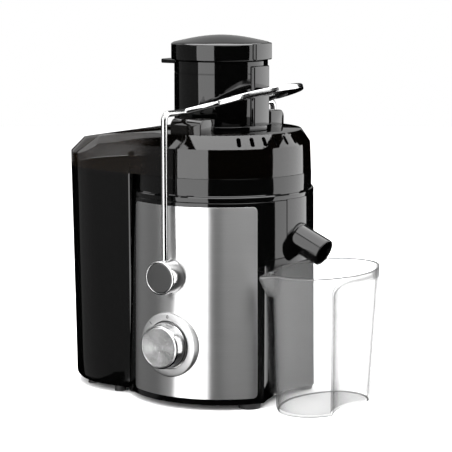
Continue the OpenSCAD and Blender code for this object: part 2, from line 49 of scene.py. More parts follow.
def low(node):  # lowest corner of a CAD node, in millimetres
    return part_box(node)[0] / mm


def high(node):
    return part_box(node)[1] / mm


class Signal:  # a socket that Python expressions can work on
    def __init__(self, paint, socket):
        self.paint, self.socket = paint, socket

    def maths(self, operation, *values):
        return self.paint.node("ShaderNodeMath", {"operation": operation}, dict(enumerate(values)))

    def __add__(self, other):
        return self.maths("ADD", self, other)

    def __radd__(self, other):
        return self.maths("ADD", other, self)

    def __sub__(self, other):
        return self.maths("SUBTRACT", self, other)

    def __rsub__(self, other):
        return self.maths("SUBTRACT", other, self)

    def __mul__(self, other):
        return self.maths("MULTIPLY", self, other)

    def __rmul__(self, other):
        return self.maths("MULTIPLY", other, self)

    def __pow__(self, other):
        return self.maths("POWER", self, other)


class Paint:  # one material: its nodes and its finish
    def __init__(self, name, constants):
        self.material = bpy.data.materials.new(name)
        self.material.use_nodes = True
        self.tree = self.material.node_tree
        self.shader = self.tree.nodes["Principled BSDF"]
        for socket, value in constants.items():
            self.shader.inputs[socket].default_value = value

    def node(self, kind, settings=None, values=None, output=0):
        made = self.tree.nodes.new(kind)
        for key, value in (settings or {}).items():
            setattr(made, key, value)
        for key, value in (values or {}).items():
            if isinstance(value, Signal):
                self.tree.links.new(value.socket, made.inputs[key])
            else:
                made.inputs[key].default_value = value
        return Signal(self, made.outputs[output])

    def place(self, stretch=(1, 1, 1)):  # the piece's own place, stretched
        here = self.node("ShaderNodeTexCoord", output="Object")
        return self.node("ShaderNodeMapping", values={"Vector": here, "Scale": stretch})

    def noise(self, scale, detail=3.0, stretch=(1, 1, 1)):
        values = {"Vector": self.place(stretch), "Scale": scale, "Detail": detail}
        return self.node("ShaderNodeTexNoise", values=values)

    def between(self, factor, first, second):  # two colours, mixed
        made = self.tree.nodes.new("ShaderNodeMix")
        made.data_type = "RGBA"
        self.tree.links.new(factor.socket, made.inputs[0])
        made.inputs[6].default_value, made.inputs[7].default_value = first, second
        return Signal(self, made.outputs[2])

    def bump(self, height, strength, distance):
        return self.node("ShaderNodeBump", values={"Height": height, "Strength": strength, "Distance": distance})

    def feed(self, links):  # joins the varying inputs and hands the material over
        for socket, value in links.items():
            self.tree.links.new(value.socket, self.shader.inputs[socket])
        return self.material


def grey(level, warmth=0.0):
    return (level * (1 + warmth), level, level * (1 - warmth), 1)


def shaded(colour, share):  # the same colour, lighter or darker
    return tuple(c * share for c in colour[:3]) + (1,)


def axisOf(node):  # where a disc facing -Y has its centre: x and z, in metres
    middle = (low(node) + high(node)) / 2 * mm
    return middle.x, middle.z


def mouldedPlastic(name, shade, roughness, scale=900, depth=0.00002, coat=0.0, strength=0.15):
    paint = Paint(name, {"Specular IOR Level": 0.5, "Coat Weight": coat, "Coat Roughness": 0.03})
    cloud, grain = paint.noise(14, 2), paint.noise(scale, 2)
    return paint.feed({
        "Base Color": paint.between(cloud, shade, shaded(shade, 1.25)),
        "Roughness": roughness * 0.85 + cloud * (roughness * 0.3),
        "Normal": paint.bump(grain, strength, depth)})


def machinedMetal(name, shade, roughness, scale=260, strength=0.2):
    paint = Paint(name, {"Metallic": 1.0})
    cloud, grain = paint.noise(20, 3), paint.noise(scale, 3)
    return paint.feed({
        "Base Color": paint.between(cloud, shaded(shade, 0.94), shade),
        "Roughness": roughness * 0.8 + grain * (roughness * 0.4),
        "Normal": paint.bump(grain, strength, 0.00002)})


def spunMetal(name, shade, roughness, centre, strength, paintedHighlightFans=0.0):  # fine turning rings, with bright and dull fans of painted highlight and painted shade standing in for the spread reflection of spun metal
    paint = Paint(name, {"Metallic": 1.0})
    here = paint.node("ShaderNodeTexCoord", output="Object")
    shift = {"Vector": here, "Location": (-centre[0], 0, -centre[1]), "Scale": (1, 0, 1)}
    moved = paint.node("ShaderNodeMapping", values=shift)
    radius = paint.node("ShaderNodeVectorMath", {"operation": "LENGTH"}, {0: moved}, "Value")
    turning = {"W": radius, "Scale": 3200.0, "Detail": 2.0}
    rings = paint.node("ShaderNodeTexNoise", {"noise_dimensions": "1D"}, turning)
    across = paint.node("ShaderNodeSeparateXYZ", values={"Vector": moved})
    upward = paint.node("ShaderNodeSeparateXYZ", values={"Vector": moved}, output="Z")
    angle = across.maths("ARCTAN2", across, upward)
    wave = angle.maths("COSINE", angle * 4.0 + 0.9)
    # the fan share is painted highlight and painted shade, the radial reflection of spun metal painted into the
    # colour; the rings are real turning marks
    blend = (wave * 0.5 + 0.5) * paintedHighlightFans + rings * (1 - paintedHighlightFans)
    return paint.feed({
        "Base Color": paint.between(blend, shaded(shade, 0.88 - 0.6 * paintedHighlightFans), shade),
        "Roughness": roughness * 0.8 + rings * (roughness * 0.4),
        "Normal": paint.bump(rings, strength, 0.00004)})


def brushedSteel():  # level brush lines round the panel
    paint = Paint("brushedSteel", {"Metallic": 1.0, "Anisotropic": 0.95, "Anisotropic Rotation": 0.25})
    lines = paint.noise(60, 5, (0.5, 0.5, 90))
    broad = paint.noise(9, 3, (0.5, 0.5, 6))
    return paint.feed({
        "Base Color": paint.between(broad * 0.35 + lines * 0.65, grey(0.56), grey(0.76)),
        "Roughness": 0.26 + lines * 0.12,
        "Normal": paint.bump(lines, 0.1, 0.00006)})


# facing and grazing are how solid the plastic looks head on and at a glancing edge; the colour darkens to the edge
# colour at glancing edges, a painted shade standing in for the dark outlines that light bending in the clear walls
# gives
def clearPlastic(name, shade, paintedEdgeShade, facing, grazing, roughness, power, gloss, levelShare=0.8):
    paint = Paint(name, {"IOR": 1.49, "Specular IOR Level": gloss})
    edge = paint.node("ShaderNodeLayerWeight", values={"Blend": 0.5}, output="Facing")
    haze = paint.noise(30, 2)
    outward = paint.node("ShaderNodeNewGeometry", output="Normal")
    upward = paint.node("ShaderNodeSeparateXYZ", values={"Vector": outward}, output="Z")
    level = paint.node("ShaderNodeMath", {"operation": "ABSOLUTE"}, {0: upward})
    rise = (edge ** power) * (1 - level * levelShare) * (grazing - facing)
    return paint.feed({
        # painted shade: the colour darkens towards the dark edge colour at glancing angles
        "Base Color": paint.between(edge, shade, paintedEdgeShade),
        "Alpha": facing + rise + haze * (facing * 0.1),
        "Roughness": roughness * 0.8 + haze * (roughness * 0.5)})


def smokedPlastic():  # brown-black tint: see-through at the round end; over the bowl the colour is painted near-black and nearly opaque, a painted shade standing in for the black bowl and the shade under the lid seen through the tint
    paint = Paint("smokeTint", {"IOR": 1.52, "Specular IOR Level": 0.6})
    along = paint.node("ShaderNodeSeparateXYZ", values={"Vector": paint.place()})
    # this mask paints the lid near-black and opaque over the bowl: painted shade for the dark, shaded bowl seen
    # through the tint
    span = {"Value": along, "From Min": -0.06, "From Max": -0.02, "To Min": 0.56, "To Max": 0.95}
    solid = paint.node("ShaderNodeMapRange", {"interpolation_type": "SMOOTHSTEP"}, span)
    edge = paint.node("ShaderNodeLayerWeight", values={"Blend": 0.5}, output="Facing")
    haze = paint.noise(30, 2)
    return paint.feed({
        "Base Color": paint.between(solid, (0.009, 0.006, 0.0035, 1), (0.0002, 0.0002, 0.0002, 1)),
        "Alpha": solid + (edge ** 2.0) * (1 - solid),
        "Roughness": 0.035 + haze * 0.03})


def meshSteel():  # fine etched sieve
    paint = Paint("sieveSteel", {"Metallic": 1.0})
    cells = {"Vector": paint.place(), "Scale": 900.0, "Randomness": 0.15}
    holes = paint.node("ShaderNodeTexVoronoi", {"feature": "F1"}, cells, "Distance")
    return paint.feed({
        "Roughness": 0.25 + holes * 0.4,
        "Base Color": paint.between(holes, grey(0.12), grey(0.72)),
        "Normal": paint.bump(holes, 0.5, 0.0002)})


def layeredMetal(name, scale, distortion, dark, light, roughness):  # windings and stacked plates
    paint = Paint(name, {"Metallic": 1.0})
    pitch = {"Vector": paint.place(), "Scale": scale, "Distortion": distortion}
    layers = paint.node("ShaderNodeTexWave", {"bands_direction": "Z"}, pitch)
    return paint.feed({
        "Base Color": paint.between(layers, dark, light),
        "Roughness": roughness + layers * 0.2,
        "Normal": paint.bump(layers, 0.6, 0.0003)})


finish = {
    "gloss_black": mouldedPlastic("glossBlack", grey(0.0006), 0.05, 60, 0.00003, 0.0, 0.04),
    "smoke_tint": smokedPlastic(),
    "brushed_panel": brushedSteel(),
    "chrome_plate": machinedMetal("chromePlate", grey(0.6), 0.16, 30, 0.03),
    "satin_disc": spunMetal("satinDisc", grey(0.12), 0.34, axisOf("front_hub"), 0.1),
    # the spun insert gets a 0.35 share of painted highlight and shade fans
    "spun_disc": spunMetal("spunDisc", grey(0.88), 0.24, axisOf("knob_insert"), 0.9, 0.35),
    "rubber_black": mouldedPlastic("rubberBlack", grey(0.012), 0.6, 700, 0.0001, 0.0, 0.5),
    "matt_black": mouldedPlastic("mattBlack", grey(0.012), 0.42, 900, 0.00006, 0.0, 0.4),
    "clear_plastic": clearPlastic("clearPlastic", grey(0.26), grey(0.0006), 0.1, 0.92, 0.05, 2.2, 0.05),
    "acetal": mouldedPlastic("acetal", grey(0.62, 0.04), 0.35, 500, 0.00005, 0.0, 0.3),
    "zinc_steel": machinedMetal("zincSteel", grey(0.56), 0.35, 300),
    "motor_metal": machinedMetal("motorMetal", grey(0.5), 0.4, 200),
    "lamination": layeredMetal("laminations", 320.0, 0.0, grey(0.16), grey(0.34), 0.35),
    "copper_wire": layeredMetal("copperWindings", 500.0, 1.5, (0.35, 0.12, 0.04, 1), (0.85, 0.42, 0.2, 1), 0.25),
    "bearing_metal": machinedMetal("bearingMetal", grey(0.66), 0.22, 120),
    "sieve_steel": meshSteel(),
    "board_green": mouldedPlastic("boardGreen", (0.01, 0.09, 0.03, 1), 0.4, 300, 0.0001, 0.3, 0.5),
    # clearEdge: a greyer, denser copy for the jug's lip and foot edge, painted shade standing in for light bending
    # in thick plastic
    "clearEdge": clearPlastic("clearEdge", grey(0.13), grey(0.05), 0.72, 0.9, 0.08, 1.6, 0.05, 0.0),
    "denseTint": mouldedPlastic("denseTint", (0.0012, 0.001, 0.0008, 1), 0.05, 60, 0.00003, 0.0, 0.04),
    "dialMark": mouldedPlastic("dialMark", grey(0.01), 0.5, 400, 0.00003),
    "dialFace": spunMetal("dialFace", grey(0.62), 0.44, axisOf("dial_ring"), 0.25),
}
print("finishes made:", len(finish))


def chain(bm, points):  # a line of edges through points of the XZ plane
    verts = [bm.verts.new((x, 0, z)) for x, z in points]
    edges = [bm.edges.new(pair) for pair in zip(verts, verts[1:])]
    return verts, edges


def lathe(points, closed=True, steps=192, turn=360.0, start=0.0):  # profile of (radius, height) spun about +Z
    bm = bmesh.new()
    verts, edges = chain(bm, points)
    if closed:
        edges.append(bm.edges.new((verts[-1], verts[0])))
    bmesh.ops.rotate(bm, verts=verts, cent=(0, 0, 0), matrix=Matrix.Rotation(radians(start), 3, "Z"))
    bmesh.ops.spin(bm, geom=verts + edges, cent=(0, 0, 0), axis=(0, 0, 1),
                   angle=radians(turn), steps=steps, use_merge=turn == 360.0)
    bmesh.ops.remove_doubles(bm, verts=bm.verts, dist=0.0005)
    if closed and turn < 360.0:
        bmesh.ops.holes_fill(bm, edges=[e for e in bm.edges if e.is_boundary], sides=len(points))
    bmesh.ops.recalc_face_normals(bm, faces=bm.faces)
    return bm


def roundOff(bm, edges, width, segments):
    bmesh.ops.bevel(bm, geom=edges, offset=width, offset_type="OFFSET", segments=segments,
                    profile=0.5, affect="EDGES", clamp_overlap=True, material=-1)


def softenEdges(bm, width, segments=3, above=30.0):  # rounds every edge that turns by more than an angle
    edges = [e for e in bm.edges if len(e.link_faces) == 2 and e.calc_face_angle(0) > radians(above)]
    if edges:
        roundOff(bm, edges, width, segments)
    return bm


def roundedBox(x0, x1, y0, y1, z0, z1, soft=1.5, segments=4):
    bm = bmesh.new()
    bmesh.ops.create_cube(bm, size=1)
    bmesh.ops.scale(bm, vec=(x1 - x0, y1 - y0, z1 - z0), verts=bm.verts)
    bmesh.ops.translate(bm, vec=((x0 + x1) / 2, (y0 + y1) / 2, (z0 + z1) / 2), verts=bm.verts)
    return softenEdges(bm, soft, segments)


def add(bm, other):  # other's mesh joins bm
    mesh = bpy.data.meshes.new("joining")
    other.to_mesh(mesh)
    other.free()
    bm.from_mesh(mesh)
    bpy.data.meshes.remove(mesh)


def turned(bm, matrix):
    bmesh.ops.transform(bm, matrix=matrix, verts=bm.verts)
    return bm


def alongY(x, z):  # stands a lathe's +Z along -Y, at x and z
    return Matrix.Translation((x, 0, z)) @ Matrix.Rotation(radians(90), 4, "X")


def combine(bm, other, operation):  # exact boolean of two closed meshes
    objects = []
    for form in (bm, other):
        mesh = bpy.data.meshes.new("form")
        form.to_mesh(mesh)
        form.free()
        made = bpy.data.objects.new("form", mesh)
        scene.collection.objects.link(made)
        objects.append(made)
    cutter = objects[0].modifiers.new("join", "BOOLEAN")
    cutter.operation, cutter.object, cutter.solver = operation, objects[1], "EXACT"
    graph = bpy.context.evaluated_depsgraph_get()
    result = bmesh.new()
    result.from_mesh(objects[0].evaluated_get(graph).to_mesh())
    for made in objects:
        mesh = made.data
        bpy.data.objects.remove(made)
        bpy.data.meshes.remove(mesh)
    return result


def fromNode(node, flat=0.6):  # a CAD node's own shape, merged, in millimetres
    bm = bmesh.new()
    bm.from_mesh(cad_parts[node].data)
    bmesh.ops.scale(bm, vec=(1000, 1000, 1000), verts=bm.verts)
    bmesh.ops.remove_doubles(bm, verts=bm.verts, dist=0.002)
    bmesh.ops.dissolve_limit(bm, angle_limit=radians(flat), verts=bm.verts, edges=bm.edges)
    return bm


def arc(bm, centre, radius, z, first, last, steps):  # points round a centre, from one angle to another
    x, y = centre
    vert = bm.verts.new((x + radius * cos(radians(first)), y + radius * sin(radians(first)), z))
    bmesh.ops.spin(bm, geom=[vert], cent=(x, y, z), axis=(0, 0, 1), angle=radians(last - first), steps=steps)


def hulled(bm, flat=0.3):  # the tight skin round all points
    bmesh.ops.remove_doubles(bm, verts=bm.verts, dist=0.001)
    skin = bmesh.ops.convex_hull(bm, input=bm.verts[:], use_existing_faces=False)
    left = set(skin["geom_interior"] + skin["geom_unused"])
    spare = [g for g in left if isinstance(g, bmesh.types.BMVert) and g.is_valid]
    bmesh.ops.delete(bm, geom=spare, context="VERTS")
    bmesh.ops.delete(bm, geom=[v for v in bm.verts if not v.link_faces], context="VERTS")
    bmesh.ops.dissolve_limit(bm, angle_limit=radians(flat), verts=bm.verts[:], edges=bm.edges[:])
    bmesh.ops.recalc_face_normals(bm, faces=bm.faces)
    return bm


# stands names the CAD nodes a piece stands for; material is set where it isn't the slot's own finish
def makePiece(name, bm, body, slot, stands=(), material=None, sharp=32.0, edge=0.0):
    bmesh.ops.scale(bm, vec=(mm, mm, mm), verts=bm.verts)
    mesh = bpy.data.meshes.new(name)
    bm.to_mesh(mesh)
    bm.free()
    mesh.shade_smooth()
    mesh.set_sharp_from_angle(angle=radians(sharp))
    mesh.materials.append(finish[material or slot])
    piece = bpy.data.objects.new(name, mesh)
    scene.collection.objects.link(piece)
    if edge:
        soft = piece.modifiers.new("edges", "BEVEL")
        soft.width, soft.segments = edge * mm, 2
        soft.limit_method, soft.angle_limit = "ANGLE", radians(35)
        soft.harden_normals = True
    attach(piece, body)
    if stands:
        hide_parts(*stands)
    return piece


baseForm = {
    "neck": 97.0, "wall": 3.0, "edgeSoft": 0.8, "nicheRadius": 140.6, "nicheFlat": 76.0, "nicheRoof": 147.0,
    "deck": 150.0, "deckThickness": 3.0, "deckRadius": 94.6, "mouthRadius": 94.0, "shaftHole": 12.0}
baseLow, baseTop = low("base_housing").z, high("base_housing").z
baseFoot = (high("base_housing").y - low("base_housing").y) / 2
baseNeck = baseForm["neck"]


def baseRadius(z):
    return baseFoot + (baseNeck - baseFoot) * (z - baseLow) / (baseTop - baseLow)


def nicheCutter(grow, roof):  # the round hollow that the jug stands in
    radius = baseForm["nicheRadius"] + grow
    cutter = lathe([(0, -10), (radius, -10), (radius, roof), (0, roof)], steps=360)
    bmesh.ops.translate(cutter, vec=(baseForm["nicheFlat"] + baseForm["nicheRadius"], 0, 0), verts=cutter.verts)
    return cutter


def buildBase():
    b = baseForm
    wall, deck = b["wall"], b["deck"]
    shell = lathe([(0, baseLow), (baseFoot, baseLow), (baseNeck, baseTop), (0, baseTop)])
    shell = combine(softenEdges(shell, b["edgeSoft"]), nicheCutter(0, b["nicheRoof"]), "DIFFERENCE")
    lowerRoom = lathe([(0, baseLow - 5), (baseFoot - wall, baseLow - 5), (baseRadius(deck) - wall, deck), (0, deck)])
    lowerRoom = combine(lowerRoom, nicheCutter(wall, b["nicheRoof"] + wall), "DIFFERENCE")
    floor = deck + b["deckThickness"]
    upperRoom = lathe([(0, floor), (b["deckRadius"], floor), (b["mouthRadius"], baseTop + 5), (0, baseTop + 5)])
    shell = combine(combine(shell, lowerRoom, "DIFFERENCE"), upperRoom, "DIFFERENCE")
    shaft = lathe([(0, 140), (b["shaftHole"], 140), (b["shaftHole"], 160), (0, 160)], steps=48)
    shell = combine(shell, shaft, "DIFFERENCE")
    makePiece("baseShell", shell, "housing", "gloss_black", ["base_housing"], edge=0.5)


buildBase()

panel = {"left": -30.5, "right": 55.5, "thickness": 0.9, "proud": 0.25, "corner": 5.0}


def clipCorner(bm, angle, z, upward, side, soft):  # rounds a corner of a bent sheet with three flat cuts
    out = Vector((sin(radians(angle)), -cos(radians(angle)), 0))
    along = Vector((cos(radians(angle)), sin(radians(angle)), 0)) * side
    up = Vector((0, 0, upward))
    corner = out * baseRadius(z) + Vector((0, 0, z))
    for tilt in (22.5, 45, 67.5):
        normal = along * cos(radians(tilt)) + up * sin(radians(tilt))
        centre = corner - along * soft - up * soft
        bmesh.ops.bisect_plane(bm, geom=bm.verts[:] + bm.edges[:] + bm.faces[:],
                               plane_co=centre + normal * soft, plane_no=normal, clear_outer=True)


def bentSheet(left, right, z0, z1, radiusAt, thickness, soft):  # follows the base's taper, with rounded corners
    levels = [z0 + (z1 - z0) * k / 8 for k in range(9)]
    bm = lathe([(radiusAt(z), z) for z in levels], closed=False, steps=96, turn=right - left, start=left - 90)
    if soft:
        for angle, side in ((left, -1), (right, 1)):
            clipCorner(bm, angle, z0, -1, side, soft)
            clipCorner(bm, angle, z1, 1, side, soft)
    bmesh.ops.recalc_face_normals(bm, faces=bm.faces)
    middles = [(f.normal, f.calc_center_median()) for f in bm.faces]
    if sum(normal.x * middle.x + normal.y * middle.y for normal, middle in middles) < 0:
        bmesh.ops.reverse_faces(bm, faces=bm.faces)
    bmesh.ops.solidify(bm, geom=bm.faces[:], thickness=thickness)
    bmesh.ops.recalc_face_normals(bm, faces=bm.faces)
    return bm


def buildPanel():
    foot, top = low("steel_panel").z, high("steel_panel").z
    sheet = bentSheet(panel["left"], panel["right"], foot, top, lambda z: baseRadius(z) + panel["proud"],
                      panel["thickness"], panel["corner"])
    makePiece("steelPanel", sheet, "housing", "brushed_panel", ["steel_panel"], edge=0.2)


buildPanel()
print("motor base built")


collector = {
    "ring": 97.0, "ringHeight": 6.0, "wall": 94.5, "bowl": 88.0, "floor": 157.0, "skirt": 92.0, "collar": 14.0,
    "collarTop": 180.0, "tongueHalf": 22.0, "tongueProud": 0.6, "tongueFoot": 151.5, "tongueRound": 9.0}


def buildCollector():
    c = collector
    floor, ring, wall, bowl, skirt = c["floor"], c["ring"], c["wall"], c["bowl"], c["skirt"]
    step = baseTop + c["ringHeight"]
    seam = high("juice_collector").z
    body = lathe([
        (c["collar"], floor), (skirt - 1.5, floor), (skirt, floor + 2), (skirt, baseTop - 1),
        (ring, baseTop + 0.3), (ring, step - 1.2), (ring - 0.8, step - 0.2), (wall + 0.4, step + 0.2),
        (wall, step + 0.8), (wall, seam), (wall - 3, seam), (bowl, seam - 4), (bowl, floor + 4),
        (bowl - 2, floor + 2.5), (c["collar"] + 4, floor + 2.5), (c["collar"] + 3, c["collarTop"]),
        (c["collar"], c["collarTop"])])
    softenEdges(body, 0.3, 2, 40)
    makePiece("collectorBowl", body, "housing", "gloss_black", ["juice_collector"])
    half = degrees(asin(c["tongueHalf"] / baseNeck))
    foot = c["tongueFoot"]
    tongue = bentSheet(90 - half, 90 + half, foot, baseTop + 0.6, lambda z: baseRadius(z) + c["tongueProud"], 3.0, 0)
    for side in (-1, 1):
        clipCorner(tongue, 90 + half * side, foot, -1, side, c["tongueRound"])
    bmesh.ops.holes_fill(tongue, edges=[e for e in tongue.edges if e.is_boundary], sides=0)
    makePiece("collectorTongue", tongue, "housing", "gloss_black", edge=0.5)


buildCollector()

spout = {"radius": 14.4, "bore": 12.2, "tilt": 24.0, "collar": 15.6, "mouthHeight": 157.9, "length": 36.5}


def buildSpout():
    s = spout
    radius, bore, collar, length = s["radius"], s["bore"], s["collar"], s["length"]
    mouthX = high("juice_spout").x - radius * sin(radians(s["tilt"]))
    tube = lathe([
        (bore, 0), (radius - 0.6, 0), (radius, 0.6), (radius, length - 3.5), (collar - 0.4, length - 3.1),
        (collar, length - 2.5), (collar, length), (bore, length)], steps=96)
    softenEdges(tube, 0.25, 2, 40)
    aim = Matrix.Rotation(radians(90 + s["tilt"]), 4, "Y") @ Matrix.Rotation(pi, 4, "X")
    place = Matrix.Translation((mouthX, 0, s["mouthHeight"])) @ aim
    makePiece("juiceSpout", turned(tube, place), "housing", "gloss_black", ["juice_spout"])


buildSpout()
print("collector and spout built")


lid = {
    "wall": 2.5, "foot": 94.3, "shoulder": 93.0, "shoulderHeight": 265.5,
    "flat": 84.0, "flatHeight": 278.8, "flatFrom": -30.0, "chuteHole": 46.6,
    "endAt": -97.0, "end": 80.0, "endHeight": 250.7,
    "creaseHalf": 79.2, "creaseFrom": -104.0, "creaseTo": -90.0, "creaseHeight": 261.0,
    "slope": 4.5, "endSlope": 9.5, "slopeDisc": 66.0, "slopeHalf": 70.0,
    "slotCount": 11, "slotStep": 9.0, "slotHalf": 3.2, "slotRadius": 2.2,
    "lugInner": 53.2, "lugOuter": 80.0, "lugFrom": -9.0, "lugTo": 28.0, "lugTop": 294.2, "lugRound": 8.0,
    "ribsAt": (-61.0, -37.0), "ribDepth": 9.0}


def placeSlope(bm, before, x, slope, t):  # lays the newest points on the sloping top at x
    drop = (lid["flatFrom"] - x) * tan(radians(lid["slope"]))
    tilt = Matrix.Translation((x, 0, lid["flatHeight"] - drop - t)) @ Matrix.Rotation(radians(-slope), 4, "Y")
    bmesh.ops.transform(bm, matrix=tilt, verts=[v for v in bm.verts if v not in before])


def lidForm(t, foot):  # the lid's outside, inset by t
    k = lid
    bm = bmesh.new()
    arc(bm, (0, 0), k["foot"] - t, foot, 0, 360, 240)
    arc(bm, (0, 0), k["shoulder"] - t, k["shoulderHeight"] - 0.5 * t, 0, 360, 240)
    away = degrees(asin(-k["flatFrom"] / k["flat"])) + 90
    arc(bm, (0, 0), k["flat"] - 0.6 * t, k["flatHeight"] - t, -away, away, 180)
    arc(bm, (k["endAt"], 0), k["end"] - t, foot, 60, 300, 160)
    arc(bm, (k["endAt"], 0), k["end"] - t, k["endHeight"] - 0.5 * t, 60, 300, 160)
    for x in (k["creaseFrom"] + t, k["creaseTo"]):
        for side in (-1, 1):
            bm.verts.new((x, side * (k["creaseHalf"] - t), k["creaseHeight"] - 0.5 * t))
    before = set(bm.verts)
    for x in (-7, 7):
        for side in (-1, 1):
            bm.verts.new((x, side * (k["slopeHalf"] - 0.6 * t), 0))
    placeSlope(bm, before, k["endAt"], k["slope"], t)
    before = set(bm.verts)
    arc(bm, (k["endAt"] - k["creaseFrom"], 0), k["slopeDisc"] - 0.6 * t, 0, 98, 262, 120)
    placeSlope(bm, before, k["creaseFrom"], k["endSlope"], t)
    return hulled(bm)


def lidSlots():  # the row of slots, square to the bevel
    k = lid
    slots = bmesh.new()
    lean = atan2(k["flatHeight"] - k["shoulderHeight"], k["shoulder"] - k["flat"])
    middle = ((k["shoulder"] + k["flat"]) / 2, 0, (k["shoulderHeight"] + k["flatHeight"]) / 2)
    for i in range(k["slotCount"]):
        slot = bmesh.new()
        for end in (-1, 1):
            for z in (-6, 6):
                arc(slot, (end * k["slotHalf"], 0), k["slotRadius"], z, 0, 360, 24)
        hulled(slot)
        around = Matrix.Rotation(radians((i - (k["slotCount"] - 1) / 2) * k["slotStep"]), 4, "Z")
        add(slots, turned(slot, around @ Matrix.Translation(middle) @ Matrix.Rotation(lean, 4, "Y")))
    return slots


def lidLug(side):
    k = lid
    x0, x1, inner, outer, top = k["lugFrom"], k["lugTo"], k["lugInner"], k["lugOuter"], k["lugTop"]
    lug = bmesh.new()
    bmesh.ops.create_cube(lug, size=1)
    bmesh.ops.scale(lug, vec=(x1 - x0, outer - inner, 20), verts=lug.verts)
    bmesh.ops.translate(lug, vec=((x0 + x1) / 2, side * (inner + outer) / 2, top - 10), verts=lug.verts)
    corner = [e for e in lug.edges if all(v.co.z > top - 1 and abs(v.co.y) > outer - 1 for v in e.verts)]
    roundOff(lug, corner, k["lugRound"], 10)
    return softenEdges(lug, 1.2, 3, 40)


def buildLid():
    k = lid
    seam = low("lid").z
    outer = softenEdges(lidForm(0, seam), 0.9, 3, 18)
    shell = combine(outer, lidForm(k["wall"], seam - 3), "DIFFERENCE")
    hole = lathe([(0, 200), (k["chuteHole"], 200), (k["chuteHole"], 320), (0, 320)], steps=128)
    shell = combine(combine(shell, hole, "DIFFERENCE"), lidSlots(), "DIFFERENCE")
    makePiece("lidShell", shell, "housing", "smoke_tint", ["lid"], sharp=20)
    lugs = bmesh.new()
    for side in (-1, 1):
        add(lugs, lidLug(side))
    makePiece("lidLugs", lugs, "housing", "smoke_tint", (), "denseTint", sharp=40)
    ribs = bmesh.new()
    for x in k["ribsAt"]:
        wall = k["foot"] - x / k["endAt"] * (k["foot"] - k["end"]) - k["wall"] - 2.5
        for side in (-1, 1):
            y0, y1 = sorted((side * (wall - k["ribDepth"]), side * wall))
            add(ribs, roundedBox(x - 1, x + 1, y0, y1, seam + 3, k["shoulderHeight"] - 8, 0.4, 2))
    makePiece("lidRibs", ribs, "housing", "smoke_tint", (), "denseTint")


buildLid()

chute = {
    "radius": 48.7, "bore": 44.0, "foot": 278.9, "lineBelowRim": 13.5, "lineDepth": 0.35, "throatInset": 1.5,
    "collarRadius": 52.7, "collarHeight": 5.4, "ribHalf": 14.5, "ribReach": 50.6, "tabHalf": 8.0}


def buildChute():
    c = chute
    top, throat, foot = high("feed_chute").z, low("feed_chute").z, c["foot"]
    radius, bore, groove = c["radius"], c["bore"], c["radius"] - c["lineDepth"]
    neck = radius - c["throatInset"]
    line = top - c["lineBelowRim"]
    tube = lathe([
        (bore, throat), (neck, throat), (neck, foot - 4), (radius, foot - 1), (radius, line),
        (groove, line + 0.3), (groove, line + 0.9), (radius, line + 1.2), (radius, top - 0.8),
        (radius - 0.8, top), (bore + 0.6, top), (bore, top - 0.6)])
    collarTop = foot + c["collarHeight"]
    collar = lathe([
        (radius - 0.5, foot), (c["collarRadius"], foot), (c["collarRadius"], collarTop), (radius - 0.5, collarTop)])
    add(tube, softenEdges(collar, 0.7))
    add(tube, roundedBox(radius - 9, c["ribReach"], -c["ribHalf"], c["ribHalf"], foot, top - 5, 1.6))
    tabEnd = low("feed_chute").x
    add(tube, roundedBox(tabEnd, 2 - radius, -c["tabHalf"], c["tabHalf"], top - 5.7, top - 1.1, 1.2))
    makePiece("feedChute", tube, "housing", "gloss_black", ["feed_chute"])


buildChute()

cap = {"radius": 51.9, "side": 16.7, "rise": 8.3, "domeInset": 2.5, "ribHalf": 15.5, "ribReach": 53.1, "body": 43.4}


def buildPusher():
    c = cap
    foot, radius = low("pusher_cap").z, c["radius"]
    side = foot + c["side"]
    crown = radius - c["domeInset"]
    dome = [(crown - crown * k / 8, side + 1 + (c["rise"] - 1) * sin(pi / 2 * k / 8)) for k in range(9)]
    skirt = [(0, foot), (radius - 0.6, foot), (radius, foot + 0.6), (radius, side - 0.6), (radius - 0.6, side)]
    form = softenEdges(lathe(skirt + dome), 0.4, 2, 25)
    add(form, roundedBox(radius - 8, c["ribReach"], -c["ribHalf"], c["ribHalf"], foot + 0.3, side + 1.2, 1.4))
    makePiece("pusherCap", form, "pusher", "gloss_black", ["pusher_cap"])
    bottom, body = low("pusher_body").z, c["body"]
    plunger = lathe([
        (0, bottom), (body - 3, bottom), (body, bottom + 3), (body, foot), (body - 2.5, foot),
        (body - 2.5, foot + 1), (0, foot + 1)])
    softenEdges(plunger, 0.8, 3, 30)
    makePiece("pusherPlunger", plunger, "pusher", "gloss_black", ["pusher_body"])


buildPusher()
print("lid, chute and pusher built")


for side in ("front", "rear"):
    makePiece(side + "Arm", fromNode(side + "_arm", 0.2), "bail", "chrome_plate", [side + "_arm"], sharp=60)

grip = {"centre": 34.0, "radius": 54.6, "rod": 6.4, "width": 20.0, "rise": 16.0, "height": 300.4, "soft": 2.7}


